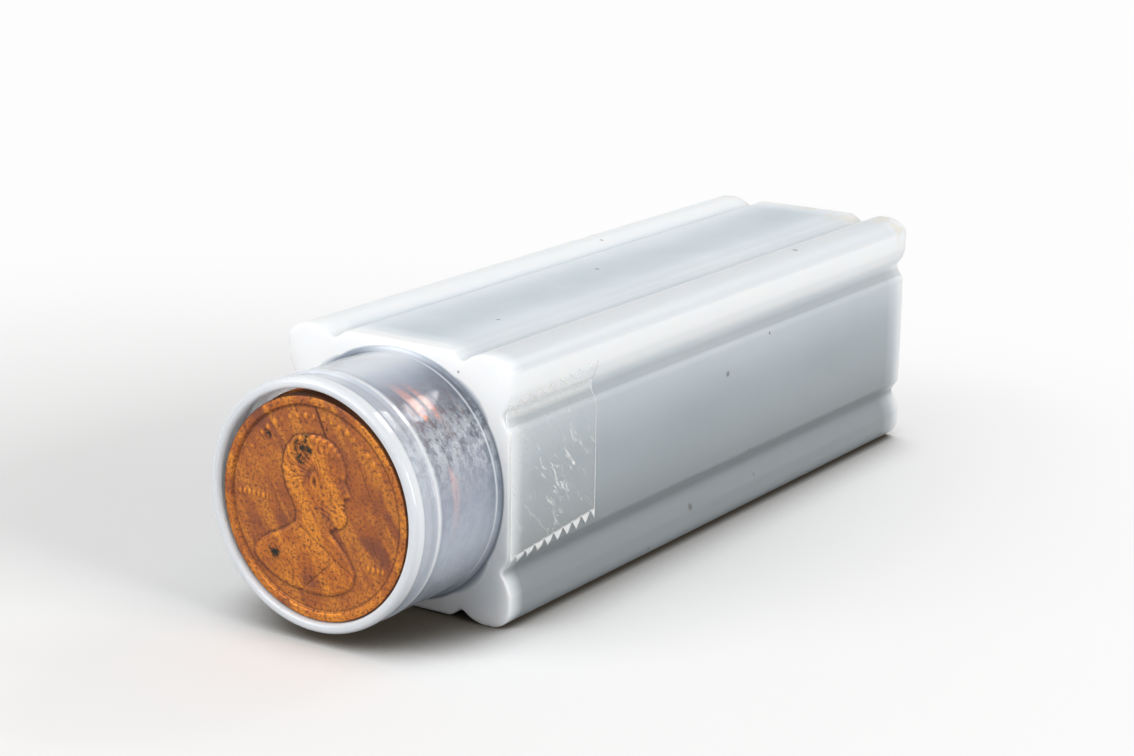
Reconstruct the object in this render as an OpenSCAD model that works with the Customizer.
// Square coin tube, lying on one side, open at its round neck and full of coins.
// The bore runs along Y with the mouth towards -Y, and the tube rests on z = 0.
// The origin lies under the middle of the tube's whole length.

/* [Coins] */
// Diameter of one coin
coin_d = 19.05; // [15:0.05:40]
// Thickness of one coin over its raised rims
coin_t = 1.52; // [1:0.01:3]
// Air left between the faces of two coins in the roll
coin_gap = 0.05; // [0.01:0.01:0.3]
// Number of coins in a full roll
coin_count = 50; // [8:1:50]
// Width of the raised rim round each face
rim_w = 0.8; // [0.3:0.1:2]
// Height of the raised rim above the field
rim_h = 0.07; // [0.02:0.01:0.2]

/* [Bore] */
// Radial room between a coin and the bore
bore_gap = 0.325; // [0.1:0.005:0.8]
// Air left under the edge of a coin that lies lowest
coin_rest = 0.04; // [0.01:0.01:0.08]
// Depth of the first coin below the lip
mouth_depth = 0.4; // [0:0.1:3]
// Thickness of the closed end
base_t = 4.1; // [1:0.1:8]

/* [Body] */
// Wall between the bore and the flat of the square body, at its thinnest
side_wall = 1.85; // [1.4:0.05:5]
// Radius of the four long corners
corner_r = 2; // [0.5:0.1:2.5]
// Distance from the side of the body to the middle of a groove, which sets the width of a rib
rib_w = 4.95; // [4.5:0.05:6]
// Width of the floor of a groove
groove_floor = 0.4; // [0.2:0.1:0.8]
// Depth of a groove below the corner ribs
groove_d = 0.85; // [0.55:0.05:1.1]
// Width of the groove's slope on the side of the corner rib
rib_slope = 1.7; // [0.8:0.1:2]
// Width of the groove's slope on the side of the middle panel
panel_slope = 1.05; // [0.3:0.05:1.5]
// Depth of the middle panel below the corner ribs
panel_drop = 0.15; // [0:0.05:0.2]

/* [Neck] */
// Length of the round neck in front of the shoulder
neck_l = 11.5; // [6:0.5:20]
// Wall of the neck
neck_wall = 0.9; // [0.8:0.05:1.2]
// Radius that rounds the outer edge of the lip
lip_r = 0.4; // [0.2:0.05:0.45]
// Length of the lip, up to the shallow groove behind it
lip_l = 1.1; // [0.8:0.1:2]
// Length of the shallow groove round the neck
relief_l = 1.7; // [0.5:0.1:2.5]
// Depth of the shallow groove round the neck
relief_d = 0.2; // [0.05:0.05:0.4]
// Length of the slope at each end of the shallow groove
relief_slope = 0.3; // [0.1:0.05:0.5]
// Break on the inner edge of the mouth
mouth_break = 0.3; // [0.1:0.05:0.3]

/* [Tape] */
// Width of the tape, measured along the tube
tape_w = 12.7; // [6:0.1:25]
// Thickness of the tape
tape_t = 0.08; // [0.05:0.01:0.3]
// Distance from the edge of the shoulder to the tape
tape_inset = 0.15; // [0:0.05:5]
// Distance from the lower groove to the tape's lower end
tape_margin = 0.05; // [0.02:0.01:0.5]

/* [Hidden] */
// Length by which a cut runs past the surface that it opens
overrun = 1;
round_fn = 96;

bore_r = coin_d / 2 + bore_gap;
body_w = 2 * (bore_r + side_wall);
half_w = body_w / 2;
neck_r = bore_r + neck_wall;
coin_pitch = coin_t + coin_gap;
bore_l = mouth_depth + coin_count * coin_pitch;
total_l = bore_l + base_t;
body_l = total_l - neck_l;

mouth_y = -total_l / 2;
shoulder_y = mouth_y + neck_l;
axis_z = half_w;

// A groove's middle, measured from the middle of the side, and the knee on its outer slope.
groove_x = half_w - rib_w;
knee_w_share = 0.4;
knee_d_share = 0.4;

// A coin lies lowest on the floor of the bore, or is held a little higher by its neighbours.
low_drop = bore_gap - coin_rest;
lift_share = 0.55;
golden_turn = 137.5;

// The tape starts on the panel beside the lower groove and ends over the upper groove's knee.
tape_low_z = axis_z - groove_x + groove_floor / 2 + panel_slope + tape_margin;
tape_high_z = axis_z + groove_x + groove_floor / 2 + rib_slope * knee_w_share;

function two_digits(i) = i < 10 ? str("0", i) : str(i);
function coin_name(i) = str("coin_", two_digits(i));
function coin_y(i) = mouth_y + mouth_depth + (i - 1) * coin_pitch;
function coin_lift(i) = lift_share * low_drop * (1 - cos((i - 1) * golden_turn));
function coin_z(i) = axis_z - low_drop + coin_lift(i);

// Stands a shape that was drawn along +Z on the tube's axis, with its foot at y.
module along_tube(y)
    translate([0, y, axis_z]) rotate([-90, 0, 0]) children();

// Square with true round corners, centred on the axis.
module rounded_square(w, r) {
    inner = w / 2 - r;
    square([w, w - 2 * r], center = true);
    square([w - 2 * r, w], center = true);
    for (x = [-inner, inner], y = [-inner, inner])
        translate([x, y]) circle(r = r, $fn = round_fn);
}

// One groove of a side, cut down from the top edge. Its outer slope towards +X is long and has
// a knee, which rounds the rib, and its inner slope towards the panel is short and straight.
module groove_cut()
    polygon([
        [-groove_floor / 2 - panel_slope, overrun],
        [-groove_floor / 2 - panel_slope, 0],
        [-groove_floor / 2, -groove_d],
        [groove_floor / 2, -groove_d],
        [groove_floor / 2 + rib_slope * knee_w_share, -groove_d * knee_d_share],
        [groove_floor / 2 + rib_slope, 0],
        [groove_floor / 2 + rib_slope, overrun]
    ]);

// Everything that is cut from one side of the square: two grooves and the sunk panel between.
module side_cut() {
    translate([groove_x, half_w]) groove_cut();
    mirror([1, 0]) translate([groove_x, half_w]) groove_cut();
    translate([-groove_x, half_w - panel_drop])
        square([2 * groove_x, panel_drop + overrun]);
}

module body_section()
    difference() {
        rounded_square(body_w, corner_r);
        for (turn = [0:90:270])
            rotate(turn) side_cut();
    }

// Outer form of the neck as radius against distance from the lip.
module neck_section() {
    relief_from = lip_l + relief_slope;
    relief_to = relief_from + relief_l;
    polygon([
        [0, 0],
        [neck_r - lip_r, 0],
        [neck_r - lip_r, lip_r],
        [neck_r, lip_r],
        [neck_r, lip_l],
        [neck_r - relief_d, relief_from],
        [neck_r - relief_d, relief_to],
        [neck_r, relief_to + relief_slope],
        [neck_r, neck_l],
        [0, neck_l]
    ]);
    intersection() {
        translate([neck_r - lip_r, lip_r]) circle(r = lip_r, $fn = round_fn);
        square([neck_r, lip_r]);
    }
}

module bore_cut() {
    translate([0, 0, -overrun]) {
        cylinder(r = bore_r, h = bore_l + overrun, $fn = round_fn);
        cylinder(r = bore_r + mouth_break, h = overrun, $fn = round_fn);
    }
    cylinder(r1 = bore_r + mouth_break, r2 = bore_r, h = mouth_break, $fn = round_fn);
}

// The tube is one moulding: square grooved body, plain shoulder, round neck and closed end.
module tube()
    color([0.90, 0.92, 0.94, 0.7])
    difference() {
        union() {
            along_tube(shoulder_y)
                linear_extrude(height = body_l) body_section();
            along_tube(mouth_y)
                rotate_extrude($fn = round_fn) neck_section();
        }
        along_tube(mouth_y) bore_cut();
    }

// A torn length of clear tape, stuck on the panel and bridging the upper groove.
module tape_strip()
    color([0.93, 0.93, 0.88, 0.5])
    translate([half_w - panel_drop, shoulder_y + tape_inset, tape_low_z])
        cube([tape_t, tape_w, tape_high_z - tape_low_z]);

// One coin: a disc with a raised rim on both faces.
module coin(i)
    color([0.66, 0.36, 0.19])
    translate([0, coin_y(i), coin_z(i)]) rotate([-90, 0, 0])
    difference() {
        cylinder(r = coin_d / 2, h = coin_t, $fn = round_fn);
        translate([0, 0, -overrun])
            cylinder(r = coin_d / 2 - rim_w, h = rim_h + overrun, $fn = round_fn);
        translate([0, 0, coin_t - rim_h])
            cylinder(r = coin_d / 2 - rim_w, h = rim_h + overrun, $fn = round_fn);
    }

tube();
tape_strip();
for (i = [1:coin_count])
    coin(i);
